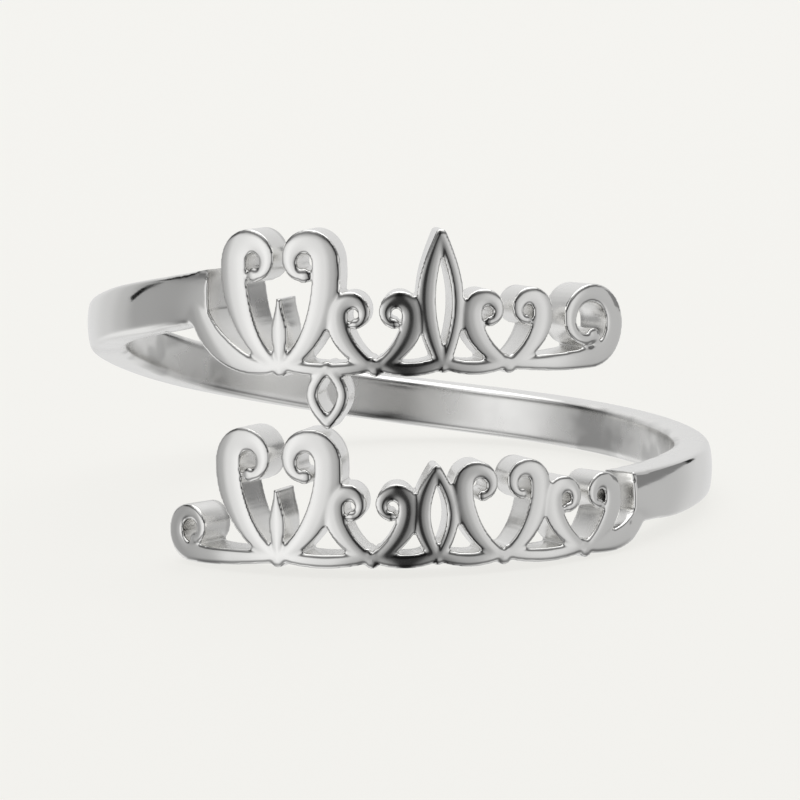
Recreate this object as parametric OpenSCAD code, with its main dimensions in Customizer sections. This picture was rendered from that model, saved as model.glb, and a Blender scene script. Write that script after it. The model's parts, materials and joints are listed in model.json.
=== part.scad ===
// Open finger ring with two rows of pierced scrollwork at the front.
// The band climbs round the finger from the lower row, at its right end, to the upper row, at its left end.
// All of it is one casting, so it is one solid. It lies as it rests on a table, on its lower row and its
// back.

/* [Fit] */
// Inside diameter, across the finger
finger_d = 17.3; // [16:0.1:20]

/* [Band] */
// Thickness of the metal, from the finger outwards
wall_t = 1.25; // [1.05:0.05:1.8]
// Width of the band along the finger
band_w = 1.65; // [1.3:0.05:2]

/* [Rows] */
// Height of the upper row's base line above the middle of the ring
upper_base = 1.25; // [1:0.05:1.6]
// Height of the lower row's base line, below the middle of the ring
lower_base = -4.4; // [-4.6:0.05:-4.2]
// Width of the garland that joins the feet along each base line
garland_w = 0.42; // [0.32:0.01:0.5]

/* [Hidden] */

inner_r = finger_d / 2;
outer_r = inner_r + wall_t;
// How it rests: angle by which it leans back onto its band, angle by which it leans to its right,
// and height of its middle above the table
rest_lean = 5.5;
rest_roll = 0.67;
rest_z = 3.73;
// The band and the rows are made thicker than the wall, then trimmed to the two round faces.
spare = 0.3;
trim_h = 20;
round_fn = 128;
// The round faces close in a line at the back of the band.
seam_turn = 90;

// Places of the band's two ends along the rows: lower row's right end and upper row's left end
band_start = 7.6;
band_end = -6.2;
full_turn = 360;
// Columns of the band's course: angle from the front, going right, and height of its middle
BAND_ANGLE = 0;
BAND_Z = 1;
band_course = [
    [angle_at(band_start), -2.86], [90, -2.61], [135, -2.15], [180, -1.41], [225, 0.08], [270, 2.06],
    [full_turn + angle_at(band_end), 3.54]
];
stations_per_span = 8;

// Columns of the styles of heart, which is two curls that grow from one foot and turn in: widths of the
// foot, the stem and the tip, radius of the curl, distance of its centre from the foot's line, angle that it
// winds through, radius at its tip, radius of the bead there, and how far it is squeezed from side to side
FOOT_W = 0;
STEM_W = 1;
TIP_W = 2;
CURL_R = 3;
SPREAD = 4;
SWEEP = 5;
TIP_R = 6;
BEAD_R = 7;
SQUEEZE = 8;
small_heart = [0.42, 0.64, 0.27, 0.50, 0.65, 250, 0.26, 0.16, 0.95];
high_heart = [0.42, 0.64, 0.27, 0.55, 0.70, 250, 0.29, 0.17, 0.95];
tall_heart = [0.46, 0.86, 0.34, 0.70, 0.84, 262, 0.36, 0.22, 0.92];
wide_heart = [0.46, 0.86, 0.34, 0.74, 0.94, 262, 0.39, 0.22, 0.94];
part_angle = 62;
stem_pull = 1;
stem_steps = 7;
curl_steps = 22;
heart_thick_at = 0.2;
// Share of the widths of the stem and the tip that stands above the curl's middle line at its top
top_share = 0.22;

// Columns of the motifs along a row: kind, place along the row, height above the base line
KIND = 0;
PLACE = 1;
HIGH = 2;
upper_motifs = [["tall heart", -3.8, 4.3], ["heart", -0.9, 2.5], ["leaf", 1.1, 4.3], ["heart", 3.1, 2.5]];
lower_motifs = [
    ["wide heart", -4, 4.1], ["heart", -1.1, 2.5], ["leaf", 0.85, 3.05], ["high heart", 2.85, 3.1],
    ["heart", 5.6, 2.5]
];
garland_rise = 0.2;
garland_steps = 8;
foot_x = 0.02;
foot_z = 0.26;
foot_spare = 0.04;
leaf_half_w = 0.47;
leaf_thick_w = 0.56;
leaf_thin_w = 0.36;
leaf_steps = 12;
// Solid bud inside a large heart: its height above the base line and its widths
bud_h = 2.3;
bud_w = 0.54;
bud_foot_w = 0.3;
bud_tip_w = 0.16;
bud_thick_at = 0.5;
bud_steps = 12;
// Hanging leaf: its place, lowest point and top
drop_place = -2.35;
drop_z = -1.34;
drop_top = 0.3;

// Columns of the plain bars between the band and a row: start and its direction, end and its direction,
// pull, widths, and how far along it is thickest
LEAD_FROM = 0;
LEAD_FROM_ANGLE = 1;
LEAD_TO = 2;
LEAD_TO_ANGLE = 3;
LEAD_PULL = 4;
LEAD_W = 5;
LEAD_THICK_AT = 6;
upper_lead = [[-6.75, 2.3], -84, [-3.8, 0.36], 20, 1.05, [0.8, 0.8, 0.42], 0.4];
lower_lead = [[5.6, 0.34], -4, [8, 1.15], 60, 0.95, [0.42, 0.66, 0.8], 0.5];
lead_steps = 14;

// Columns of the curls at the free ends of the rows: foot and its direction, centre, radii of the curl and
// of its tip, sweep, widths, and radius of the bead at its tip
END_FOOT = 0;
END_ANGLE = 1;
END_AT = 2;
END_R = 3;
END_TIP_R = 4;
END_SWEEP = 5;
END_W = 6;
END_BEAD_R = 7;
upper_end = [[3.1, 0.34], -6, [5.85, 1.37], 1.05, 0.44, 380, [0.42, 0.66, 0.34], 0.24];
lower_end = [[-4, 0.34], 185, [-7.1, 0.95], 0.68, 0.32, -330, [0.42, 0.58, 0.3], 0.2];
end_thick_at = 0.3;
end_squeeze = 1;
straight_down = 270;
bead_fn = 24;
// Growth that merges the bars of a motif into one outline
merge = 0.001;

// Angle from the front of a place along a row
function angle_at(u) = u / outer_r * 180 / PI;

// Direction in degrees from one flat point to the next
function heading(p, q) = atan2(q[1] - p[1], q[0] - p[0]);

// Smooth curve from p, leaving at angle pa, to q, arriving at angle qa
function curve(p, pa, q, qa, pull, steps) =
    let (reach = pull * norm(q - p), a = reach * [cos(pa), sin(pa)], b = reach * [cos(qa), sin(qa)])
    [for (i = [0:steps]) let (t = i / steps)
        (2 * t * t * t - 3 * t * t + 1) * p + (t * t * t - 2 * t * t + t) * a
        + (3 * t * t - 2 * t * t * t) * q + (t * t * t - t * t) * b];

// Curl that winds in from radius r to radius tip_r
function curl(c, r, tip_r, start, sweep, squeeze) =
    [for (i = [0:curl_steps]) let (
        t = i / curl_steps,
        a = start + sweep * t,
        d = r + (tip_r - r) * pow(t, 1.5))
        c + [squeeze * d * cos(a), d * sin(a)]];

// Adds a width to each point, from the widths at the start, where the bar is thickest and at the tip
function swelling(points, w, thick_at) =
    [for (i = [0:len(points) - 1]) let (
        t = i / (len(points) - 1),
        k = t < thick_at ? t / thick_at : (1 - t) / (1 - thick_at),
        w0 = t < thick_at ? w[0] : w[2])
        [points[i][0], points[i][1], w0 + (w[1] - w0) * k * k * (3 - 2 * k)]];

function without_last(list) = [for (i = [0:len(list) - 2]) list[i]];

// Stem that leaves its foot at an angle and winds into a curl
function scroll(foot, foot_angle, c, r, tip_r, start, sweep, squeeze, w, thick_at) =
    let (
        winding = curl(c, r, tip_r, start, sweep, squeeze),
        stem = curve(foot, foot_angle, winding[0], heading(winding[0], winding[1]), stem_pull, stem_steps))
    swelling(concat(without_last(stem), winding), w, thick_at);

// Smooth height of the band at t, between stations i and i + 1 of its course
function course(i, t) =
    let (
        last = len(band_course) - 1,
        p0 = band_course[max(i - 1, 0)], p1 = band_course[i],
        p2 = band_course[i + 1], p3 = band_course[min(i + 2, last)])
    0.5 * (2 * p1 + (p2 - p0) * t + (2 * p0 - 5 * p1 + 4 * p2 - p3) * t * t
        + (3 * p1 - p0 - 3 * p2 + p3) * t * t * t);

// Skin over rings of points, each ring with the same number of them
module skin(rings) {
    n = len(rings[0]);
    last = len(rings) - 1;
    polyhedron(
        points = [for (ring = rings, p = ring) p],
        faces = concat(
            [[for (j = [0:n - 1]) j]],
            [for (i = [0:last - 1], j = [0:n - 1]) let (k = (j + 1) % n)
                each [
                    [i * n + j, (i + 1) * n + j, (i + 1) * n + k],
                    [i * n + j, (i + 1) * n + k, i * n + k]
                ]],
            [[for (j = [n - 1:-1:0]) last * n + j]]),
        convexity = 8);
}

// Flat outline of a bar that follows its stations [u, z, width]
module stroke(stations) {
    last = len(stations) - 1;
    sides = [for (i = [0:last]) let (
        s = stations[i],
        a = heading(stations[max(i - 1, 0)], stations[min(i + 1, last)]))
        s[2] / 2 * [-sin(a), cos(a)]];
    polygon(concat(
        [for (i = [0:last]) [stations[i][0], stations[i][1]] + sides[i]],
        [for (i = [last:-1:0]) [stations[i][0], stations[i][1]] - sides[i]]));
}

// Flat outline of a round end or joint
module bead(u, z, r) {
    translate([u, z]) circle(r = r, $fn = bead_fn);
}

// Flat outline of a stroke whose tip ends in a round bead
module beaded(stations, bead_r) {
    tip = stations[len(stations) - 1];
    stroke(stations);
    bead(tip[0], tip[1], bead_r);
}

// Cuts a flat outline through the wall at right angles to the ring's face at u, its middle
module through(u) {
    rotate([90, 0, angle_at(u)])
        translate([0, 0, inner_r - spare])
            linear_extrude(wall_t + 2 * spare)
                offset(delta = merge)
                    translate([-u, 0]) children();
}

// Heart of two curls that grow from one foot
module heart(u, h, style) {
    curl_z = h - style[CURL_R] - top_share * (style[STEM_W] + style[TIP_W]);
    for (side = [-1, 1])
        through(u + side * style[SPREAD] / 2) {
            beaded(scroll(
                [u + side * foot_x, foot_z], 90 - side * part_angle, [u + side * style[SPREAD], curl_z],
                style[CURL_R], style[TIP_R], 90 - side * 90, side * style[SWEEP], style[SQUEEZE],
                [style[FOOT_W], style[STEM_W], style[TIP_W]], heart_thick_at), style[BEAD_R]);
            bead(u, foot_z, style[FOOT_W] / 2 + foot_spare);
        }
}

// Solid pointed bud that stands on a foot
module bud(u) {
    through(u)
        stroke(swelling(
            [for (i = [0:bud_steps]) [u, foot_z + (bud_h - foot_z) * i / bud_steps]],
            [bud_foot_w, bud_w, bud_tip_w], bud_thick_at));
}

// Open leaf between two heights, with one thick side and one thin side
module leaf(u, z0, z1, half_w, thick_w, thin_w) {
    through(u) {
        for (side = [-1, 1])
            stroke([for (i = [0:leaf_steps]) let (t = i / leaf_steps)
                [
                    u + side * half_w * sin(180 * t),
                    z0 + (z1 - z0) * t,
                    thin_w + (side < 0 ? thick_w - thin_w : 0) * sin(180 * t)
                ]]);
        for (z = [z0, z1]) bead(u, z, thin_w / 2);
    }
}

// One hanging arc of the garland, from foot to foot
module garland(u0, u1) {
    through((u0 + u1) / 2)
        stroke([for (i = [0:garland_steps]) let (t = i / garland_steps, s = 2 * t - 1)
            [u0 + (u1 - u0) * t, garland_w / 2 + garland_rise * s * s, garland_w]]);
}

module motifs(row) {
    for (m = row) {
        if (m[KIND] == "tall heart" || m[KIND] == "wide heart") {
            heart(m[PLACE], m[HIGH], m[KIND] == "tall heart" ? tall_heart : wide_heart);
            bud(m[PLACE]);
        }
        if (m[KIND] == "heart") heart(m[PLACE], m[HIGH], small_heart);
        if (m[KIND] == "high heart") heart(m[PLACE], m[HIGH], high_heart);
        if (m[KIND] == "leaf")
            leaf(m[PLACE], foot_z, m[HIGH] - leaf_thin_w / 2, leaf_half_w, leaf_thick_w, leaf_thin_w);
    }
    for (i = [0:len(row) - 2]) garland(row[i][PLACE], row[i + 1][PLACE]);
}

// Plain bar between the band and a row
module lead(l) {
    through((l[LEAD_FROM][0] + l[LEAD_TO][0]) / 2)
        stroke(swelling(
            curve(l[LEAD_FROM], l[LEAD_FROM_ANGLE], l[LEAD_TO], l[LEAD_TO_ANGLE], l[LEAD_PULL], lead_steps),
            l[LEAD_W], l[LEAD_THICK_AT]));
}

// Curl at the free end of a row
module end_curl(e) {
    through((e[END_FOOT][0] + e[END_AT][0]) / 2)
        beaded(scroll(
            e[END_FOOT], e[END_ANGLE], e[END_AT], e[END_R], e[END_TIP_R], straight_down, e[END_SWEEP],
            end_squeeze, e[END_W], end_thick_at), e[END_BEAD_R]);
}

module upper_row() {
    translate([0, 0, upper_base]) {
        motifs(upper_motifs);
        lead(upper_lead);
        end_curl(upper_end);
        leaf(drop_place, drop_z, drop_top, leaf_half_w, leaf_thin_w, leaf_thin_w);
    }
}

module lower_row() {
    translate([0, 0, lower_base]) {
        motifs(lower_motifs);
        lead(lower_lead);
        end_curl(lower_end);
    }
}

// Flat band, swept along its course
module band() {
    profile = [
        [inner_r - spare, band_w / 2], [outer_r + spare, band_w / 2],
        [outer_r + spare, -band_w / 2], [inner_r - spare, -band_w / 2]
    ];
    spans = len(band_course) - 1;
    skin([for (k = [0:spans * stations_per_span]) let (
        i = min(floor(k / stations_per_span), spans - 1),
        place = course(i, k / stations_per_span - i),
        a = place[BAND_ANGLE])
        [for (p = profile) [p[0] * sin(a), -p[0] * cos(a), place[BAND_Z] + p[1]]]]);
}

// Round bar that the ring is trimmed to, outside and in the finger hole
module round_bar(r) {
    rotate([0, 0, seam_turn]) cylinder(r = r, h = trim_h, center = true, $fn = round_fn);
}

module ring() {
    color("silver")
        translate([0, 0, rest_z])
            rotate([-rest_lean, rest_roll, 0])
                difference() {
                    intersection() {
                        union() {
                            band();
                            upper_row();
                            lower_row();
                        }
                        round_bar(outer_r);
                    }
                    round_bar(inner_r);
                }
}

ring();
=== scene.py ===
import json
import math
from collections import namedtuple
from functools import lru_cache

import bmesh
import bpy
from mathutils import Euler, Matrix, Quaternion, Vector


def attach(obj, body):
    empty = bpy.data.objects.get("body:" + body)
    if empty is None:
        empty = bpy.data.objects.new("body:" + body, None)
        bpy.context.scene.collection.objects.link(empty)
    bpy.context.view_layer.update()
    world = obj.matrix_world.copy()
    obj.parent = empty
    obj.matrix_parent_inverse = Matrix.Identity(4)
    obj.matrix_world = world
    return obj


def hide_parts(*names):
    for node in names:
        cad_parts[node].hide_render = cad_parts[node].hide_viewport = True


bl_info = {
    "name": "Scrollwork finger ring",
    "version": (1, 0, 0),
    "blender": (4, 5, 0),
    "location": "View3D > Sidebar > Ring",
    "description": "Open silver finger ring with two rows of pierced scrollwork",
    "category": "Add Mesh",
}

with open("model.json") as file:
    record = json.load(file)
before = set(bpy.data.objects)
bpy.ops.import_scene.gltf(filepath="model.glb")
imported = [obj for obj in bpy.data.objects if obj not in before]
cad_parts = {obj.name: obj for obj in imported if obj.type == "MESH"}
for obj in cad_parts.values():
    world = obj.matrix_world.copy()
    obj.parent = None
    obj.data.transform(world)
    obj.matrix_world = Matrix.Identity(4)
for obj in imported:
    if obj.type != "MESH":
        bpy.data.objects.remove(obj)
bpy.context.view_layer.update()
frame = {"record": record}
FINGER = frame["record"]["mounts"][0]

# The metal is worked flat and in millimetres, as a strip seen from outside: x runs along the ring's outside,
# y goes in towards the finger, and z is up. Then it is bent round and brought down to metres.
MM = 0.001
FULL_TURN = 2 * math.pi
HAIR = 1e-4

RING = "ring_silver"
LOWER_FLAT = "lower_row_flat"
UPPER_FLAT = "upper_row_flat"


# The rows: sizes in mm, angles in degrees, with x to the right and z up

RIGHT, UP, LEFT, DOWN = 0, 90, 180, 270

# Styles of heart, which is two curls that grow from one foot and turn in
Heart =namedtuple("Heart", "foot_w stem_w tip_w curl_r spread sweep tip_r bead_r squeeze")
SMALL_HEART = Heart(0.42, 0.64, 0.27, 0.50, 0.65, 250, 0.26, 0.16, 0.95)
HIGH_HEART = Heart(0.42, 0.64, 0.27, 0.55, 0.70, 250, 0.29, 0.17, 0.95)
TALL_HEART = Heart(0.46, 0.86, 0.34, 0.70, 0.84, 262, 0.36, 0.22, 0.92)
WIDE_HEART = Heart(0.46, 0.86, 0.34, 0.74, 0.94, 262, 0.39, 0.22, 0.94)
HEARTS = {"heart": SMALL_HEART, "high heart": HIGH_HEART, "tall heart": TALL_HEART, "wide heart": WIDE_HEART}
BUDDED = ("tall heart", "wide heart")
# How far from upright the two stems leave the foot, and how stiffly they hold their direction
PART_ANGLE = 62
STEM_PULL = 1.0
STEM_STEPS = 12
CURL_STEPS = 38
CURL_TIGHTENS = 1.5
# Where a stem with its curl is thickest, and the share of its widths that is above the curl's centre line
HEART_THICK_AT = 0.2
TOP_SHARE = 0.22

# Motifs along each row: kind, place along the row and height above its base line
Motif = namedtuple("Motif", "kind place height")
UPPER_MOTIFS = (
    Motif("tall heart", -3.8, 4.3), Motif("heart", -0.9, 2.5), Motif("leaf", 1.1, 4.3),
    Motif("heart", 3.1, 2.5),
)
LOWER_MOTIFS = (
    Motif("wide heart", -4, 4.1), Motif("heart", -1.1, 2.5), Motif("leaf", 0.85, 3.05),
    Motif("high heart", 2.85, 3.1), Motif("heart", 5.6, 2.5),
)
# The foot that a motif grows from: half the distance of its stems, height, and how far its bead stands out
FOOT_X = 0.02
FOOT_Z = 0.26
FOOT_SPARE = 0.04
# How much higher a garland is at its ends than in its middle
GARLAND_RISE = 0.2
GARLAND_STEPS = 12

# Open leaves, with one thick side and one thin side, and the small one that hangs under the upper row
Leaf = namedtuple("Leaf", "half_w thick_w thin_w")
LEAF = Leaf(0.47, 0.56, 0.36)
DROP_LEAF = Leaf(0.47, 0.36, 0.36)
LEAF_STEPS = 16
DROP_PLACE = -2.35
DROP_Z = (-1.34, 0.3)

# Solid bud inside a large heart: height, widths at the foot, where it is thickest and at the tip
BUD_H = 2.3
BUD_WIDTHS = (0.3, 0.54, 0.16)
BUD_THICK_AT = 0.5
BUD_STEPS = 14

# Plain bars between the band and a row: start, angle, end, angle, pull, widths and where it is thickest
Lead = namedtuple("Lead", "start start_angle end end_angle pull widths thick_at")
UPPER_LEAD = Lead((-6.75, 2.3), -84, (-3.8, 0.36), 20, 1.05, (0.8, 0.8, 0.42), 0.4)
LOWER_LEAD = Lead((5.6, 0.34), -4, (8, 1.15), 60, 0.95, (0.42, 0.66, 0.8), 0.5)
LEAD_STEPS = 20
# The front of the lower bar sinks over this length, by this depth, to meet the worn edge of the band.
SINK_REACH = 1.0
SINK_DEPTH = 0.07
SINK_STEPS = 5

# Curls at the free ends of the rows: foot, angle, centre, radii of the curl and its tip, sweep, widths, bead
EndCurl = namedtuple("EndCurl", "foot foot_angle centre r tip_r sweep widths bead_r")
UPPER_END = EndCurl((3.1, 0.34), -6, (5.85, 1.37), 1.05, 0.44, 380, (0.42, 0.66, 0.34), 0.24)
LOWER_END = EndCurl((-4, 0.34), 185, (-7.1, 0.95), 0.68, 0.32, -330, (0.42, 0.58, 0.3), 0.2)
END_THICK_AT = 0.3


# Casting of the rows, in mm

# The metal is cast this thin, then its finger side is pulled back to the wall's thickness.
THIN = 0.3
VOXEL = 0.0438
# Rise of the domed front of a bar and of the band, and the steps that it is built in on each side
CROWN = 0.032
CROWN_STEPS = 3
BAND_CROWN = 0.1
BAND_CROWN_STEPS = 8
# Sides of a bead, and the rounds of its domed front: each goes in by the radius over the first number, and
# rises by the second number's share of the crown. Its front is where the normal's y is below this.
BEAD_SIDES = 32
BEAD_ROUNDS = ((2, 0.75), (3, 0.25))
FRONT_NORMAL = -0.9
# Passes that smooth a casting, first its outline alone and then its rims too, and the strength of each
OUTLINE_PASSES = 3
RIM_PASSES = 2
SMOOTHING = 0.5
# Share of a voxel within which a face lies on the flat back
FLAT_WITHIN = 0.1


# The band, by angle from the front in degrees, going right, and in mm

# Height of its middle
BAND_COURSE = (
    (44, -2.86), (90, -2.61), (135, -2.15), (180, -1.41), (225, 0.08), (270, 2.06), (324, 3.54),
)
# Stretch from one point of the course to the next, with room past both ends, and the halvings of the search
COURSE_SEARCH = (-0.5, 1.5)
COURSE_HALVINGS = 40
# Lengths that are cast with each row, and where the rest is joined to them
LOWER_STUB = (44, 60)
UPPER_STUB = (306, 324)
STUB_STEPS = 12
LOWER_SEAM = 52
UPPER_SEAM = 316
BAND_STEP = 2.0
# Side, start and end of the upper and the lower rim, which are filed flat after casting, and how deep
RIMS = ((1, 44, 324), (-1, 53, 315))
FILE_DEPTH = 0.06
RIM_CUTS = 12
# Angles over which the band's wear comes in, at its lower and at its upper edge, and over which it goes again
SOFT_FROM = ((52, 74), (60, 88))
SOFT_TO = ((296, 320), (282, 304))
SOFT_PASSES = 150
# Both ends of the band are worn this much too, which comes in and goes over these angles.
END_WEAR = 0.22
END_FROM = (41.5, 48)
END_TO = (318, 323)
# Edges that turn by more than this stay sharp.
SHARP_FROM = math.radians(50)


# Finish of the silver, in mm. A noise has the size of its lumps and its layers of detail.

NOISE_MEAN = 0.5

# Radius where the satin sides give way to the polished outside, and the roughness of each
SATIN_TO_POLISH = (9.70, 9.86)
SATIN_ROUGH = (0.20, 0.30)
POLISH_ROUGH = (0.07, 0.15)
# Waves, scratches and smudges that polishing leaves
WAVE_NOISE = (2.2, 1)
WAVE_DEPTH = 0.012
SCRATCH_NOISE = (0.07, 2)
SCRATCH_STRETCH = 14
SCRATCH_DEPTH = 0.0004
SMUDGE_NOISE = (1.6, 4)
SMUDGE_SPAN = (0.35, 0.7)
# Share of the colour that is left in the recesses as painted shade, and the pointiness over which they end
RECESS_SHADE = 0.82
RECESS_SPAN = (0.42, 0.5)
# The finger side is polished less evenly, except at the back: radii over which it ends, how far round from
# the back in radians this comes in, its waves and its clouds
FINGER_SIDE = (8.72, 9.0)
UNEVEN_FROM = (0.5, 0.85)
FINGER_WAVE_DEPTH = 0.03
CLOUD_NOISE = (1.7, 2)
CLOUD_SPAN = (0.4, 0.56)
CLOUD = 0.72


# The stage, in metres and degrees

# The floor, and the shares of its colour that it takes from the studio and that it gives off
FLOOR_SIZE = 2
FLOOR_SHADE = 0.15
FLOOR_GLOW = 0.82
FLOOR_ROUGH = 0.9
# Soft light from above, in watts, and what it is aimed at
LIGHT_PLACE = (0.05, 0.05, 0.5)
LIGHT_SIZE = 0.6
LIGHT_POWER = 1.2
LIGHT_AIM = (0, 0, 0.004)
# Grey of the studio's walls at the horizon, by angle from the front, going right, once round from the left
WALLS = (
    (-90, 0.36), (-76, 0.46), (-66, 0.78), (-46, 0.96), (-28, 0.78), (-17, 0.50), (-9, 0.32), (-3, 0.03),
    (3, 0.03), (9, 0.22), (22, 0.42), (36, 0.66), (54, 0.76), (72, 0.52), (90, 0.52), (115, 0.52),
    (140, 0.68), (165, 0.74), (185, 0.78), (205, 0.74), (225, 0.64), (238, 0.52), (248, 0.38), (270, 0.36),
)
# Brightness of the walls by the height of the direction, from straight down to straight up
HEIGHTS = (
    (-1, 0.75), (-0.66, 0.95), (-0.5, 0.35), (-0.38, 0.35), (-0.24, 0.95), (0.0, 1.0), (0.14, 1.0),
    (0.3, 0.2), (0.44, 0.3), (0.62, 1.0), (1, 1.0),
)
# Beside and behind the ring, from here to here towards the back, the walls are even from floor to ceiling.
EVEN_BEHIND = (-0.15, 0.3)
# At the left they stand on a pale table: from here to here downwards and to the left, and its grey
TABLE_BELOW = (-0.26, -0.38)
TABLE_LEFT = (-0.3, -0.7)
TABLE_GREY = 0.85
# Cards that only the silver sees, with their angle from the front and above the horizon
Card = namedtuple("Card", "name angle rise width height tilt grey")
CARDS = (
    Card("left_card", -99, 32, 0.09, 0.13, 0, 0.01), Card("left_strip", -108.5, 6.6, 0.078, 0.013, 42, 0.01),
    Card("right_card", 109, 5.5, 0.195, 0.057, 0, 0.22), Card("right_flag", 130, 4, 0.035, 0.05, 0, 0.01),
)
CARD_DISTANCE = 0.25
# Camera in the ring's own frame, whose z axis is the finger's: distance and aim in mm
CAMERA_DISTANCE = 113.0
CAMERA_ELEVATION = 6.03
CAMERA_AZIMUTH = -1.0
CAMERA_ROLL = -0.98
CAMERA_AIM = (-0.02, -0.46)
CAMERA_LENS = 159.1
CAMERA_SENSOR = 36
CAMERA_CLIP = (0.001, 10)


# Lines and curves

def smooth_step(t):
    t = min(max(t, 0), 1)
    return t * t * (3 - 2 * t)


def heading(p, q):
    return math.atan2(q[1] - p[1], q[0] - p[0])


def curve(p, p_angle, q, q_angle, pull, steps):
    """Points of a smooth curve from p, leaving at one angle, to q, arriving at another."""
    reach = pull * math.dist(p, q)
    a = (reach * math.cos(math.radians(p_angle)), reach * math.sin(math.radians(p_angle)))
    b = (reach * math.cos(math.radians(q_angle)), reach * math.sin(math.radians(q_angle)))
    points = []
    for i in range(steps + 1):
        t = i / steps
        h = (2 * t**3 - 3 * t**2 + 1, t**3 - 2 * t**2 + t, 3 * t**2 - 2 * t**3, t**3 - t**2)
        points.append(tuple(h[0] * p[k] + h[1] * a[k] + h[2] * q[k] + h[3] * b[k] for k in (0, 1)))
    return points


def winding(centre, r, tip_r, start, sweep, squeeze):
    """Points of a curl that winds in from one radius to another."""
    points = []
    for i in range(CURL_STEPS + 1):
        t = i / CURL_STEPS
        a = math.radians(start + sweep * t)
        d = r + (tip_r - r) * t**CURL_TIGHTENS
        points.append((centre[0] + squeeze * d * math.cos(a), centre[1] + d * math.sin(a)))
    return points


def swelling(points, widths, thick_at):
    """Stations (x, z, width) whose width swells from the start to thick_at and narrows to the tip."""
    stations = []
    for i, (x, z) in enumerate(points):
        t = i / (len(points) - 1)
        if t < thick_at:
            k, w = t / thick_at, widths[0]
        else:
            k, w = (1 - t) / (1 - thick_at), widths[2]
        stations.append((x, z, w + (widths[1] - w) * k * k * (3 - 2 * k)))
    return stations


def scroll(foot, foot_angle, centre, r, tip_r, start, sweep, squeeze, widths, thick_at):
    """Stations of a stem that leaves its foot and winds into a curl."""
    curl = winding(centre, r, tip_r, start, sweep, squeeze)
    arrival = math.degrees(heading(curl[0], curl[1]))
    stem = curve(foot, foot_angle, curl[0], arrival, STEM_PULL, STEM_STEPS)
    return swelling(stem[:-1] + curl, widths, thick_at)


@lru_cache(maxsize=None)
def course(angle):
    """Height of the band's middle at an angle from the front."""
    last = len(BAND_COURSE) - 1
    i = max(k for k in range(last) if BAND_COURSE[k][0] <= angle or k == 0)
    p0, p1, p2, p3 = (BAND_COURSE[min(max(k, 0), last)] for k in (i - 1, i, i + 1, i + 2))

    def place(axis, t):
        a, b, c, d = p0[axis], p1[axis], p2[axis], p3[axis]
        square, cube = 2 * a - 5 * b + 4 * c - d, 3 * b - a - 3 * c + d
        return 0.5 * (2 * b + (c - a) * t + square * t**2 + cube * t**3)

    low, high = COURSE_SEARCH
    for _ in range(COURSE_HALVINGS):
        t = (low + high) / 2
        if place(0, t) < angle:
            low = t
        else:
            high = t
    return place(1, low)


def rim_height(p, r, band_w):
    """Height of the band's rim at a point that is near it, or None."""
    a = math.degrees(p.x / r)
    for side, first, last in RIMS:
        if first <= a <= last and abs(course(a) + side * band_w / 2 - p.z) < FILE_DEPTH:
            return course(a) + side * band_w / 2
    return None


def wear_at(p, r, band_w):
    """Share of the full wear at a point of the band: little at the rows, all of it at the sides and back."""
    a = math.degrees(p.x / r)
    if not END_FROM[0] < a < END_TO[1]:
        return 0
    up = smooth_step((p.z - course(round(a, 1))) / band_w + 0.5)
    begins, whole = (low + (high - low) * up for low, high in zip(*SOFT_FROM))
    fades, gone = (low + (high - low) * up for low, high in zip(*SOFT_TO))
    wear = min(smooth_step((a - begins) / (whole - begins)), smooth_step((gone - a) / (gone - fades)))
    end = min(
        smooth_step((a - END_FROM[0]) / (END_FROM[1] - END_FROM[0])),
        smooth_step((END_TO[1] - a) / (END_TO[1] - END_TO[0])))
    return max(wear, END_WEAR * end)


# Bench work: bars, beads and their joining

def choose(keep, kind="verts"):
    """In edit mode, selects only the parts of the mesh that keep() says."""
    mesh = bmesh.from_edit_mesh(bpy.context.object.data)
    mesh.select_mode = {{"verts": "VERT", "edges": "EDGE", "faces": "FACE"}[kind]}
    for part in (*mesh.faces, *mesh.edges, *mesh.verts):
        part.select_set(False)
    for part in getattr(mesh, kind):
        if keep(part):
            part.select_set(True)
    bmesh.update_edit_mesh(bpy.context.object.data)


def only(*objects):
    """Selects these objects alone, the first of them active."""
    bpy.ops.object.select_all(action="DESELECT")
    for o in objects:
        o.select_set(True)
    bpy.context.view_layer.objects.active = objects[0]


def joined(objects, name):
    only(*objects)
    bpy.ops.object.join()
    metal = bpy.context.object
    metal.name = name
    bpy.ops.object.transform_apply(location=True, rotation=True, scale=True)
    return metal


def section(x, z, w, angle, crown=CROWN, steps=CROWN_STEPS):
    """Stands the crowned section of a bar across its path, and leaves it selected in edit mode."""
    bpy.ops.object.select_all(action="DESELECT")
    bpy.ops.mesh.primitive_plane_add(size=1, location=(0, 0, 0))
    metal = bpy.context.object
    metal.location = (x, (crown + THIN) / 2, z)
    metal.rotation_euler = (0, math.pi / 2 - angle, 0)
    metal.scale = (w, THIN - crown, 1)
    bpy.ops.object.transform_apply(location=True, rotation=True, scale=True)
    bpy.ops.object.mode_set(mode="EDIT")
    front = crown + HAIR
    choose(lambda e: all(v.co.y < front for v in e.verts), "edges")
    bpy.ops.mesh.subdivide(number_cuts=2 * steps - 1)
    for k in range(steps, 0, -1):
        reach = (k - 0.5) / (2 * steps) * w
        choose(lambda v: v.co.y < front and math.dist((v.co.x, v.co.z), (x, z)) < reach)
        bpy.ops.transform.translate(value=(0, -crown * (2 * k - 1) / steps**2, 0))
    bpy.ops.mesh.select_all(action="SELECT")
    return metal


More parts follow.
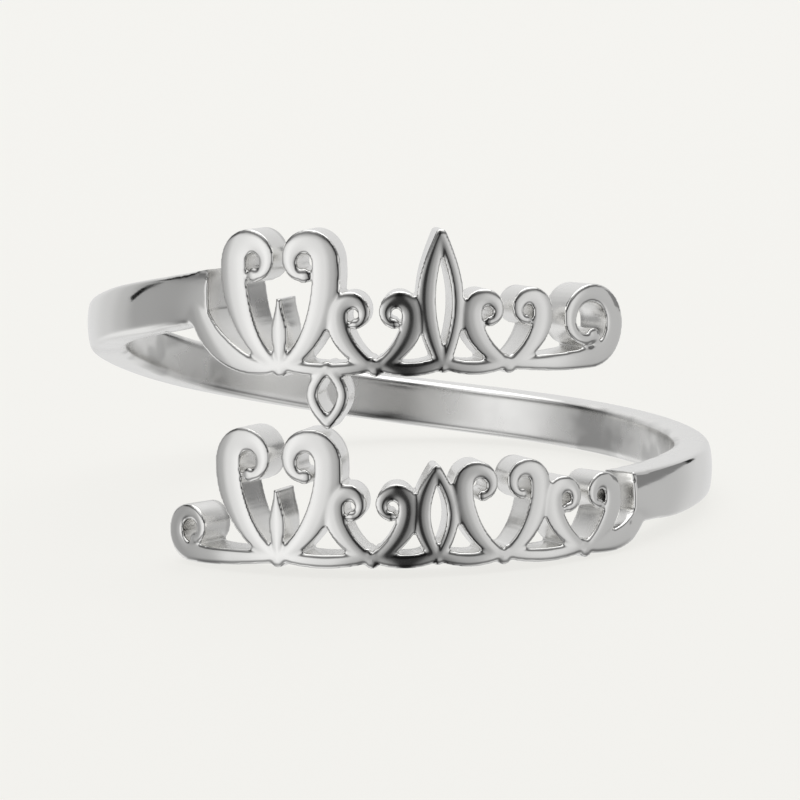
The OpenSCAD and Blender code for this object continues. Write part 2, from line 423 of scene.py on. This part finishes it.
def bar(stations):
    """Draws a bar of metal along its stations (x, z, width)."""
    last = len(stations) - 1
    angles = [heading(stations[max(i - 1, 0)], stations[min(i + 1, last)]) for i in range(last + 1)]
    x, z, w = stations[0]
    metal = section(x, z, w, angles[0])
    for i in range(1, last + 1):
        nx, nz, nw = stations[i]
        turn = (angles[i] - angles[i - 1] + math.pi) % FULL_TURN - math.pi
        centre = (nx, 0, nz)
        bpy.ops.mesh.extrude_region_move(TRANSFORM_OT_translate={"value": (nx - x, 0, nz - z)})
        bpy.ops.transform.rotate(value=turn, orient_axis="Y", center_override=centre)
        bpy.ops.transform.resize(value=(nw / w, 1, nw / w), center_override=centre)
        x, z, w = nx, nz, nw
    bpy.ops.object.mode_set(mode="OBJECT")
    return metal


def bead(x, z, r):
    """Crowned round end of a bar."""
    bpy.ops.object.select_all(action="DESELECT")
    bpy.ops.mesh.primitive_cylinder_add(
        vertices=BEAD_SIDES, radius=r, depth=THIN - CROWN, location=(x, (CROWN + THIN) / 2, z),
        rotation=(math.pi / 2, 0, 0))
    metal = bpy.context.object
    bpy.ops.object.transform_apply(location=True, rotation=True, scale=True)
    bpy.ops.object.mode_set(mode="EDIT")
    choose(lambda f: f.normal.y < FRONT_NORMAL, "faces")
    for part, share in BEAD_ROUNDS:
        bpy.ops.mesh.inset(thickness=r / part, depth=share * CROWN)
    bpy.ops.object.mode_set(mode="OBJECT")
    return metal


def heart(x, height, style, base):
    """Two curls that grow from one foot and turn in."""
    metal = [bead(x, base + FOOT_Z, style.foot_w / 2 + FOOT_SPARE)]
    curl_z = base + height - style.curl_r - TOP_SHARE * (style.stem_w + style.tip_w)
    for side in (-1, 1):
        stations = scroll(
            (x + side * FOOT_X, base + FOOT_Z), UP - side * PART_ANGLE, (x + side * style.spread, curl_z),
            style.curl_r, style.tip_r, RIGHT if side > 0 else LEFT, side * style.sweep, style.squeeze,
            (style.foot_w, style.stem_w, style.tip_w), HEART_THICK_AT)
        metal += [bar(stations), bead(*stations[-1][:2], style.bead_r)]
    return metal


def bud(x, base):
    """Solid pointed bud that stands on a foot."""
    rise = BUD_H - FOOT_Z
    points = [(x, base + FOOT_Z + rise * i / BUD_STEPS) for i in range(BUD_STEPS + 1)]
    return bar(swelling(points, BUD_WIDTHS, BUD_THICK_AT))


def leaf(x, z0, z1, style):
    """Open leaf with one thick side and one thin side."""
    metal = [bead(x, z, style.thin_w / 2) for z in (z0, z1)]
    for side in (-1, 1):
        stations = []
        for i in range(LEAF_STEPS + 1):
            t = i / LEAF_STEPS
            belly = math.sin(math.pi * t)
            extra = (style.thick_w - style.thin_w) * belly if side < 0 else 0
            stations.append((x + side * style.half_w * belly, z0 + (z1 - z0) * t, style.thin_w + extra))
        metal.append(bar(stations))
    return metal


def garland(x0, x1, base, w):
    """Hanging bar that joins the feet of two motifs."""
    stations = []
    for i in range(GARLAND_STEPS + 1):
        t = i / GARLAND_STEPS
        s = 2 * t - 1
        stations.append((x0 + (x1 - x0) * t, base + w / 2 + GARLAND_RISE * s * s, w))
    return bar(stations)


def motif_row(motifs, centre, base, garland_w):
    """All the motifs of a row and the garlands that join their feet."""
    metal = []
    for m in motifs:
        x = centre + m.place
        if m.kind == "leaf":
            metal += leaf(x, base + FOOT_Z, base + m.height - LEAF.thin_w / 2, LEAF)
        else:
            metal += heart(x, m.height, HEARTS[m.kind], base)
        if m.kind in BUDDED:
            metal.append(bud(x, base))
    for m, n in zip(motifs, motifs[1:]):
        metal.append(garland(centre + m.place, centre + n.place, base, garland_w))
    return metal


def shifted(p, centre, base):
    return (centre + p[0], base + p[1])


def lead_bar(lead, centre, base):
    """Plain bar between the band and a row."""
    points = curve(
        shifted(lead.start, centre, base), lead.start_angle, shifted(lead.end, centre, base), lead.end_angle,
        lead.pull, LEAD_STEPS)
    return bar(swelling(points, lead.widths, lead.thick_at))


def sunk(metal):
    """Lets the front of a bar sink towards its right end."""
    end = max(v.co.x for v in metal.data.vertices)
    only(metal)
    bpy.ops.object.mode_set(mode="EDIT")
    for k in range(SINK_STEPS):
        edge = end - SINK_REACH * (1 - (k + 0.5) / SINK_STEPS)
        choose(lambda v: v.co.y < THIN / 2 and v.co.x > edge)
        bpy.ops.transform.translate(value=(0, SINK_DEPTH / SINK_STEPS, 0))
    bpy.ops.object.mode_set(mode="OBJECT")
    return metal


def end_curl(c, centre, base):
    """Curl at the free end of a row."""
    stations = scroll(
        shifted(c.foot, centre, base), c.foot_angle, shifted(c.centre, centre, base), c.r, c.tip_r,
        DOWN, c.sweep, 1, c.widths, END_THICK_AT)
    return [bar(stations), bead(*stations[-1][:2], c.bead_r)]


def band_stub(from_angle, to_angle, r, band_w):
    """Short length of the band, to be cast with a row."""
    def place(k):
        a = from_angle + (to_angle - from_angle) * k / STUB_STEPS
        return math.radians(a) * r, course(a)

    x, z = place(0)
    metal = section(x, z, band_w, 0, BAND_CROWN, BAND_CROWN_STEPS)
    for k in range(1, STUB_STEPS + 1):
        nx, nz = place(k)
        bpy.ops.mesh.extrude_region_move(TRANSFORM_OT_translate={"value": (nx - x, 0, nz - z)})
        x, z = nx, nz
    bpy.ops.object.mode_set(mode="OBJECT")
    return metal


def fused(metal, name, stub):
    """Makes overlapping bars one polished casting, whose flat back stays finely meshed only at the stub."""
    piece = joined(metal, name)
    bpy.ops.object.mode_set(mode="EDIT")
    bpy.ops.mesh.select_all(action="SELECT")
    bpy.ops.mesh.normals_make_consistent(inside=False)
    bpy.ops.object.mode_set(mode="OBJECT")
    cast = piece.modifiers.new("cast", "REMESH")
    cast.mode = "VOXEL"
    cast.voxel_size = VOXEL
    cast.adaptivity = 0
    bpy.ops.object.modifier_apply(modifier=cast.name)
    for title, passes, deep in (("outline", OUTLINE_PASSES, False), ("rim", RIM_PASSES, True)):
        polish = piece.modifiers.new(title, "SMOOTH")
        polish.factor = SMOOTHING
        polish.iterations = passes
        polish.use_y = deep
        bpy.ops.object.modifier_apply(modifier=polish.name)
    bpy.ops.object.mode_set(mode="EDIT")
    back = THIN - FLAT_WITHIN * VOXEL
    choose(lambda f: all(v.co.y > back and not stub[0] < v.co.x < stub[1] for v in f.verts), "faces")
    bpy.ops.mesh.delete(type="FACE")
    choose(lambda e: e.is_boundary, "edges")
    bpy.ops.transform.resize(value=(1, 0, 1), center_override=(0, THIN, 0))
    bpy.ops.mesh.fill(use_beauty=True)
    bpy.ops.object.mode_set(mode="OBJECT")
    return piece


def cut_at(metal, x, **clear):
    """Cuts the metal across at x, clears one side, and stays in edit mode."""
    only(metal)
    bpy.ops.object.mode_set(mode="EDIT")
    bpy.ops.mesh.select_all(action="SELECT")
    bpy.ops.mesh.bisect(plane_co=(x, 0, 0), plane_no=(1, 0, 0), **clear)


# Sizes and colours that a user would change

class RingSizes(bpy.types.PropertyGroup):
    finger_d: bpy.props.FloatProperty(
        name="Inside diameter", description="Across the finger hole", unit="LENGTH",
        default=2 * FINGER["dims"]["r_mm"] * MM, precision=5)
    wall_t: bpy.props.FloatProperty(
        name="Wall", description="Thickness of the metal, from the finger outwards", unit="LENGTH",
        default=1.25 * MM, precision=5)
    band_w: bpy.props.FloatProperty(
        name="Band width", description="Width of the band along the finger", unit="LENGTH",
        default=1.65 * MM, precision=5)
    upper_base: bpy.props.FloatProperty(
        name="Upper base line", description="Height of the upper row's base line above the ring's middle",
        unit="LENGTH", default=1.25 * MM, precision=5)
    lower_base: bpy.props.FloatProperty(
        name="Lower base line", description="Height of the lower row's base line above the ring's middle",
        unit="LENGTH", default=-4.4 * MM, precision=5)
    garland_w: bpy.props.FloatProperty(
        name="Garland width", description="Width of the bar that joins the feet of the motifs", unit="LENGTH",
        default=0.42 * MM, precision=5)
    rest_lean: bpy.props.FloatProperty(
        name="Lean", description="Angle by which the ring leans back onto its band", subtype="ANGLE",
        default=math.radians(5.5))
    rest_roll: bpy.props.FloatProperty(
        name="Roll", description="Angle by which the ring leans to its right", subtype="ANGLE",
        default=math.radians(0.67))
    rest_z: bpy.props.FloatProperty(
        name="Middle height", description="Height of the ring's middle above the table", unit="LENGTH",
        default=FINGER["pos_m"][2], precision=5)


class RingFinish(bpy.types.PropertyGroup):
    silver: bpy.props.FloatVectorProperty(
        name="Silver", description="Colour of the polished silver", subtype="COLOR", size=3, min=0, max=1,
        default=(0.90, 0.895, 0.88))
    floor: bpy.props.FloatVectorProperty(
        name="Floor", description="Colour of the floor", subtype="COLOR", size=3, min=0, max=1,
        default=(0.913, 0.905, 0.871))


def outer_r(sizes):
    return (sizes.finger_d / 2 + sizes.wall_t) / MM


# The ring

class RING_OT_lower_row(bpy.types.Operator):
    """Casts the lower row flat, with the end of the band that it grows out of"""
    bl_idname = "ring.lower_row"
    bl_label = "Lower row"

    def execute(self, context):
        s = context.scene.ring_sizes
        r = outer_r(s)
        base = s.lower_base / MM
        metal = motif_row(LOWER_MOTIFS, 0, base, s.garland_w / MM)
        metal.append(sunk(lead_bar(LOWER_LEAD, 0, base)))
        metal += end_curl(LOWER_END, 0, base)
        metal.append(band_stub(*LOWER_STUB, r, s.band_w / MM))
        fused(metal, LOWER_FLAT, [math.radians(a) * r for a in LOWER_STUB])
        return {"FINISHED"}


class RING_OT_upper_row(bpy.types.Operator):
    """Casts the upper row flat, one turn further along the strip, with its end of the band"""
    bl_idname = "ring.upper_row"
    bl_label = "Upper row"

    def execute(self, context):
        s = context.scene.ring_sizes
        r = outer_r(s)
        base = s.upper_base / MM
        centre = FULL_TURN * r
        metal = motif_row(UPPER_MOTIFS, centre, base, s.garland_w / MM)
        metal.append(lead_bar(UPPER_LEAD, centre, base))
        metal += end_curl(UPPER_END, centre, base)
        metal += leaf(centre + DROP_PLACE, base + DROP_Z[0], base + DROP_Z[1], DROP_LEAF)
        metal.append(band_stub(*UPPER_STUB, r, s.band_w / MM))
        fused(metal, UPPER_FLAT, [math.radians(a) * r for a in UPPER_STUB])
        return {"FINISHED"}


class RING_OT_band(bpy.types.Operator):
    """Draws the band from one row round to the other, joins all of it and wears the band's edges"""
    bl_idname = "ring.band"
    bl_label = "Band"

    def execute(self, context):
        s = context.scene.ring_sizes
        r, band_w = outer_r(s), s.band_w / MM
        upper, lower = bpy.data.objects[UPPER_FLAT], bpy.data.objects[LOWER_FLAT]

        cut_at(upper, math.radians(UPPER_SEAM) * r, clear_inner=True)
        bpy.ops.object.mode_set(mode="OBJECT")
        x, z = math.radians(LOWER_SEAM) * r, course(LOWER_SEAM)
        cut_at(lower, x, clear_outer=True)
        choose(lambda e: e.is_boundary, "edges")
        for k in range(1, round((UPPER_SEAM - LOWER_SEAM) / BAND_STEP)):
            angle = LOWER_SEAM + BAND_STEP * k
            nx, nz = math.radians(angle) * r, course(angle)
            bpy.ops.mesh.extrude_region_move(TRANSFORM_OT_translate={"value": (nx - x, 0, nz - z)})
            x, z = nx, nz
        bpy.ops.object.mode_set(mode="OBJECT")

        ring = joined([lower, upper], RING)
        bpy.ops.object.mode_set(mode="EDIT")
        choose(lambda e: e.is_boundary, "edges")
        bpy.ops.mesh.bridge_edge_loops()
        bpy.ops.mesh.select_all(action="SELECT")
        bpy.ops.mesh.normals_make_consistent(inside=False)

        # The finger side is pulled back to the full thickness of the wall, and the band's rims are filed.
        middle = THIN / 2
        choose(lambda v: v.co.y > middle)
        bpy.ops.transform.translate(value=(0, s.wall_t / MM - THIN, 0))
        choose(
            lambda e: (e.verts[0].co.y > middle) != (e.verts[1].co.y > middle)
            and all(rim_height(v.co, r, band_w) for v in e.verts), "edges")
        bpy.ops.mesh.subdivide(number_cuts=RIM_CUTS)
        bpy.ops.object.mode_set(mode="OBJECT")
        for v in ring.data.vertices:
            v.co.z = rim_height(v.co, r, band_w) or v.co.z

        soft = ring.vertex_groups.new(name="soft")
        for v in ring.data.vertices:
            wear = wear_at(v.co, r, band_w)
            if wear > 0:
                soft.add([v.index], wear, "REPLACE")
        years = ring.modifiers.new("wear", "SMOOTH")
        years.vertex_group = soft.name
        years.factor = SMOOTHING
        years.iterations = SOFT_PASSES
        bpy.ops.object.modifier_apply(modifier=years.name)
        return {"FINISHED"}


class RING_OT_bend(bpy.types.Operator):
    """Bends the flat metal round the finger, sets it down as it rests and finishes it in silver"""
    bl_idname = "ring.bend"
    bl_label = "Bend and finish"

    def execute(self, context):
        s = context.scene.ring_sizes
        r = outer_r(s)
        ring = bpy.data.objects[RING]
        only(ring)
        xs = [v.co.x for v in ring.data.vertices]
        bend = ring.modifiers.new("bend", "SIMPLE_DEFORM")
        bend.deform_method = "BEND"
        bend.deform_axis = "Z"
        bend.angle = (max(xs) - min(xs)) / r
        bpy.ops.object.modifier_apply(modifier=bend.name)
        bpy.ops.object.mode_set(mode="EDIT")
        bpy.ops.mesh.select_all(action="SELECT")
        bpy.ops.transform.translate(value=(0, -r, 0))
        bpy.ops.object.mode_set(mode="OBJECT")
        ring.scale = (MM, MM, MM)
        ring.rotation_euler = (-s.rest_lean, s.rest_roll, 0)
        ring.location = (0, 0, s.rest_z)
        bpy.ops.object.transform_apply(location=True, rotation=True, scale=True)
        bpy.ops.object.shade_smooth_by_angle(angle=SHARP_FROM)
        ring.data.materials.clear()
        ring.data.materials.append(polished_silver(s, context.scene.ring_finish.silver))
        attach(ring, "root")
        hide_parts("ring")
        return {"FINISHED"}


# Materials

def feed(tree, socket, value):
    """Sets a socket to a number or colour, or links another socket to it."""
    if isinstance(value, (int, float, tuple)):
        socket.default_value = value
    else:
        tree.links.new(value, socket)


def grey(shade):
    return (shade, shade, shade, 1)


def calculated(tree, operation, a, b=0):
    """Result of a math node on two sockets or numbers."""
    node = tree.nodes.new("ShaderNodeMath")
    node.operation = operation
    for socket, value in zip(node.inputs, (a, b)):
        feed(tree, socket, value)
    return node.outputs["Value"]


def noise(tree, vector, size_mm, detail):
    """Noise whose lumps are about size_mm across where its vector is in metres."""
    node = tree.nodes.new("ShaderNodeTexNoise")
    node.inputs["Scale"].default_value = 1 / (size_mm * MM)
    node.inputs["Detail"].default_value = detail
    feed(tree, node.inputs["Vector"], vector)
    return node.outputs["Fac"]


def spread_over(tree, value, low, high, to_low=0, to_high=1):
    """Maps a value from one range to another, eased at both ends."""
    node = tree.nodes.new("ShaderNodeMapRange")
    node.interpolation_type = "SMOOTHSTEP"
    for name, number in (
            ("Value", value), ("From Min", low), ("From Max", high), ("To Min", to_low), ("To Max", to_high)):
        feed(tree, node.inputs[name], number)
    return node.outputs["Result"]


def mixed(tree, factor, a, b, blend="MIX"):
    """Mixes two colours."""
    node = tree.nodes.new("ShaderNodeMix")
    node.data_type, node.blend_type = "RGBA", blend
    for name, value in zip(("Factor", "A", "B"), (factor, a, b)):
        feed(tree, node.inputs[name], value)
    return node.outputs["Result"]


def polished_silver(sizes, colour):
    """Hand-polished silver: soft waves, fine scratches round the ring, smudges, satin sides, and painted
    shade in the recesses.
    """
    material = bpy.data.materials.new("polished_silver")
    material.use_nodes = True
    tree = material.node_tree
    shader = tree.nodes["Principled BSDF"]
    shader.inputs["Metallic"].default_value = 1

    # Place in the ring's own frame, and the same unrolled: along the ring, outwards and up
    place = tree.nodes.new("ShaderNodeTexCoord")
    upright = tree.nodes.new("ShaderNodeMapping")
    upright.vector_type = "TEXTURE"
    upright.inputs["Location"].default_value = (0, 0, sizes.rest_z)
    upright.inputs["Rotation"].default_value = (-sizes.rest_lean, sizes.rest_roll, 0)
    feed(tree, upright.inputs["Vector"], place.outputs["Object"])
    spot = upright.outputs["Vector"]
    parts = tree.nodes.new("ShaderNodeSeparateXYZ")
    feed(tree, parts.inputs["Vector"], spot)
    x, y, z = (parts.outputs[name] for name in "XYZ")
    squares = [calculated(tree, "MULTIPLY", v, v) for v in (x, y)]
    radius = calculated(tree, "SQRT", calculated(tree, "ADD", *squares))
    turn = calculated(tree, "ARCTAN2", x, y)
    along = calculated(tree, "MULTIPLY", turn, outer_r(sizes) * MM / SCRATCH_STRETCH)
    unrolled = tree.nodes.new("ShaderNodeCombineXYZ")
    for socket, value in zip(unrolled.inputs, (along, radius, z)):
        feed(tree, socket, value)

    waves, smudges, clouds = (noise(tree, spot, *n) for n in (WAVE_NOISE, SMUDGE_NOISE, CLOUD_NOISE))
    scratches = noise(tree, unrolled.outputs["Vector"], *SCRATCH_NOISE)

    satin = spread_over(tree, radius, SATIN_TO_POLISH[0] * MM, SATIN_TO_POLISH[1] * MM, 1, 0)
    rough = [spread_over(tree, smudges, *SMUDGE_SPAN, *ends) for ends in (POLISH_ROUGH, SATIN_ROUGH)]
    feed(tree, shader.inputs["Roughness"], spread_over(tree, satin, 0, 1, *rough))

    off_back = spread_over(tree, calculated(tree, "ABSOLUTE", turn), *UNEVEN_FROM)
    finger_side = spread_over(tree, radius, FINGER_SIDE[0] * MM, FINGER_SIDE[1] * MM, 1, 0)
    uneven = calculated(tree, "MULTIPLY", off_back, finger_side)
    shade = spread_over(tree, clouds, *CLOUD_SPAN, CLOUD, 1)
    # Where the pointiness is low, in recesses and creases, the colour is darkened: painted shade.
    geometry_node = tree.nodes.new("ShaderNodeNewGeometry")
    unshaded_share = spread_over(tree, geometry_node.outputs["Pointiness"], *RECESS_SPAN)
    tone = mixed(tree, unshaded_share, (*(RECESS_SHADE * c for c in colour), 1), (*colour, 1))
    clouded = mixed(tree, 1, tone, spread_over(tree, uneven, 0, 1, 1, shade), "MULTIPLY")
    feed(tree, shader.inputs["Base Color"], clouded)

    depth = spread_over(tree, uneven, 0, 1, WAVE_DEPTH * MM, FINGER_WAVE_DEPTH * MM)
    swell = calculated(tree, "MULTIPLY", calculated(tree, "SUBTRACT", waves, NOISE_MEAN), depth)
    grooves = calculated(tree, "MULTIPLY", scratches, SCRATCH_DEPTH * MM)
    bump = tree.nodes.new("ShaderNodeBump")
    bump.inputs["Distance"].default_value = 1
    feed(tree, bump.inputs["Height"], calculated(tree, "ADD", swell, grooves))
    feed(tree, shader.inputs["Normal"], bump.outputs["Normal"])
    return material


def glowing_paint(name, base, glow, strength=1, rough=0.5, gloss=0.5):
    """Plain paint that gives off some light of its own."""
    material = bpy.data.materials.new(name)
    material.use_nodes = True
    shader = material.node_tree.nodes["Principled BSDF"]
    for socket, value in (
            ("Base Color", base), ("Emission Color", glow), ("Emission Strength", strength),
            ("Roughness", rough), ("Specular IOR Level", gloss)):
        shader.inputs[socket].default_value = value
    return material


def grey_ramp(tree, stops):
    """Colour ramp of greys, from (place, grey) in any order."""
    node = tree.nodes.new("ShaderNodeValToRGB")
    node.color_ramp.interpolation = "EASE"
    elements = node.color_ramp.elements
    stops = sorted(stops)
    while len(elements) < len(stops):
        elements.new(0.5)
    for element, (place, _) in zip(elements, stops):
        element.position = place
    for element, (_, shade) in zip(elements, stops):
        element.color = grey(shade)
    return node


def studio(plain):
    """Surroundings that the silver reflects, on a plain ground that the camera sees."""
    world = bpy.data.worlds.new("studio")
    world.use_nodes = True
    tree = world.node_tree
    tree.nodes.clear()
    direction = tree.nodes.new("ShaderNodeTexCoord").outputs["Generated"]
    round_about = tree.nodes.new("ShaderNodeTexGradient")
    round_about.gradient_type = "RADIAL"
    feed(tree, round_about.inputs["Vector"], direction)
    walls = grey_ramp(tree, [((angle - WALLS[0][0]) / 360, shade) for angle, shade in WALLS])
    feed(tree, walls.inputs["Fac"], round_about.outputs["Fac"])
    parts = tree.nodes.new("ShaderNodeSeparateXYZ")
    feed(tree, parts.inputs["Vector"], direction)
    height = tree.nodes.new("ShaderNodeMapRange")
    height.inputs["From Min"].default_value = -1
    feed(tree, height.inputs["Value"], parts.outputs["Z"])
    heights = grey_ramp(tree, [((h + 1) / 2, shade) for h, shade in HEIGHTS])
    feed(tree, heights.inputs["Fac"], height.outputs["Result"])

    behind = spread_over(tree, parts.outputs["Y"], *EVEN_BEHIND)
    even = mixed(tree, behind, heights.outputs["Color"], grey(1))
    room = mixed(tree, 1, walls.outputs["Color"], even, "MULTIPLY")
    low = spread_over(tree, parts.outputs["Z"], *TABLE_BELOW)
    left = spread_over(tree, parts.outputs["X"], *TABLE_LEFT)
    corner = calculated(tree, "MULTIPLY", calculated(tree, "MULTIPLY", low, left), behind)

    reflected, seen = (tree.nodes.new("ShaderNodeBackground") for _ in range(2))
    feed(tree, reflected.inputs["Color"], mixed(tree, corner, room, grey(TABLE_GREY)))
    feed(tree, seen.inputs["Color"], (*plain, 1))
    either = tree.nodes.new("ShaderNodeMixShader")
    rays = tree.nodes.new("ShaderNodeLightPath")
    for socket, value in zip(
            either.inputs,
            (rays.outputs["Is Camera Ray"], reflected.outputs["Background"], seen.outputs["Background"])):
        feed(tree, socket, value)
    out = tree.nodes.new("ShaderNodeOutputWorld")
    feed(tree, out.inputs["Surface"], either.outputs["Shader"])
    return world


# The stage

def direction(angle, rise):
    """Direction at an angle from the front, going right, and above the horizon, in degrees."""
    a, e = math.radians(angle), math.radians(rise)
    return Vector((math.sin(a) * math.cos(e), -math.cos(a) * math.cos(e), math.sin(e)))


def plane(name, size, place, paint):
    """Adds a painted plane."""
    bpy.ops.object.select_all(action="DESELECT")
    bpy.ops.mesh.primitive_plane_add(size=size, location=place)
    sheet = bpy.context.object
    sheet.name = name
    sheet.data.materials.append(paint)
    return sheet


def camera_pose():
    """Place and turn of the camera in the ring's own frame, in metres."""
    back = direction(CAMERA_AZIMUTH, CAMERA_ELEVATION)
    a, roll = math.radians(CAMERA_AZIMUTH), math.radians(CAMERA_ROLL)
    level = Vector((math.cos(a), math.sin(a), 0))
    upright = back.cross(level)
    right = math.cos(roll) * level + math.sin(roll) * upright
    up = math.cos(roll) * upright - math.sin(roll) * level
    pose = Matrix((right, up, back)).transposed().to_4x4()
    pose.translation = (Vector((CAMERA_AIM[0], 0, CAMERA_AIM[1])) + CAMERA_DISTANCE * back) * MM
    return pose


class RING_OT_stage(bpy.types.Operator):
    """Sets up the floor, the light, the cards and the camera"""
    bl_idname = "ring.stage"
    bl_label = "Stage"

    def execute(self, context):
        s = context.scene.ring_sizes
        colour = tuple(context.scene.ring_finish.floor)
        shaded = tuple(FLOOR_SHADE * c for c in colour)
        floor = plane("floor", FLOOR_SIZE, (0, 0, 0), glowing_paint(
            "pale_floor", (*shaded, 1), (*colour, 1), FLOOR_GLOW, FLOOR_ROUGH))
        floor.visible_glossy = False

        context.scene.world = studio(colour)
        context.scene.view_settings.view_transform = "Standard"

        bpy.ops.object.light_add(type="AREA", location=LIGHT_PLACE)
        light = context.object
        light.name = "top"
        light.data.shape = "SQUARE"
        light.data.size = LIGHT_SIZE
        light.data.energy = LIGHT_POWER
        light.rotation_euler = (Vector(LIGHT_AIM) - Vector(LIGHT_PLACE)).to_track_quat("-Z", "Y").to_euler()

        for c in CARDS:
            way = direction(c.angle, c.rise)
            paint = glowing_paint(c.name, grey(0), grey(c.grey), gloss=0)
            card = plane(c.name, 1, CARD_DISTANCE * way, paint)
            card.scale = (c.width, c.height, 1)
            turned = Quaternion(way, math.radians(c.tilt)) @ way.to_track_quat("Z", "Y")
            card.rotation_euler = turned.to_euler()
            card.visible_camera = card.visible_diffuse = card.visible_shadow = False

        lean = Euler((-s.rest_lean, s.rest_roll, 0)).to_matrix().to_4x4()
        rest = Matrix.Translation((0, 0, s.rest_z)) @ lean
        bpy.ops.object.camera_add()
        camera = context.object
        camera.matrix_world = rest @ camera_pose()
        camera.data.sensor_width = CAMERA_SENSOR
        camera.data.lens = CAMERA_LENS
        camera.data.clip_start, camera.data.clip_end = CAMERA_CLIP
        context.scene.camera = camera
        return {"FINISHED"}


class RING_PT_panel(bpy.types.Panel):
    bl_idname = "RING_PT_panel"
    bl_label = "Scrollwork ring"
    bl_space_type = "VIEW_3D"
    bl_region_type = "UI"
    bl_category = "Ring"

    def draw(self, context):
        column = self.layout.column()
        for group in (context.scene.ring_sizes, context.scene.ring_finish):
            for name in group.__annotations__:
                column.prop(group, name)
        for operator in STEPS:
            column.operator(operator.bl_idname)


STEPS = (RING_OT_lower_row, RING_OT_upper_row, RING_OT_band, RING_OT_bend, RING_OT_stage)
CLASSES = (RingSizes, RingFinish, *STEPS, RING_PT_panel)


def register():
    for c in CLASSES:
        bpy.utils.register_class(c)
    bpy.types.Scene.ring_sizes = bpy.props.PointerProperty(type=RingSizes)
    bpy.types.Scene.ring_finish = bpy.props.PointerProperty(type=RingFinish)


def unregister():
    del bpy.types.Scene.ring_finish
    del bpy.types.Scene.ring_sizes
    for c in reversed(CLASSES):
        bpy.utils.unregister_class(c)


def main():
    register()
    bpy.ops.ring.lower_row()
    bpy.ops.ring.upper_row()
    bpy.ops.ring.band()
    bpy.ops.ring.bend()
    bpy.ops.ring.stage()


if __name__ == "__main__":
    main()
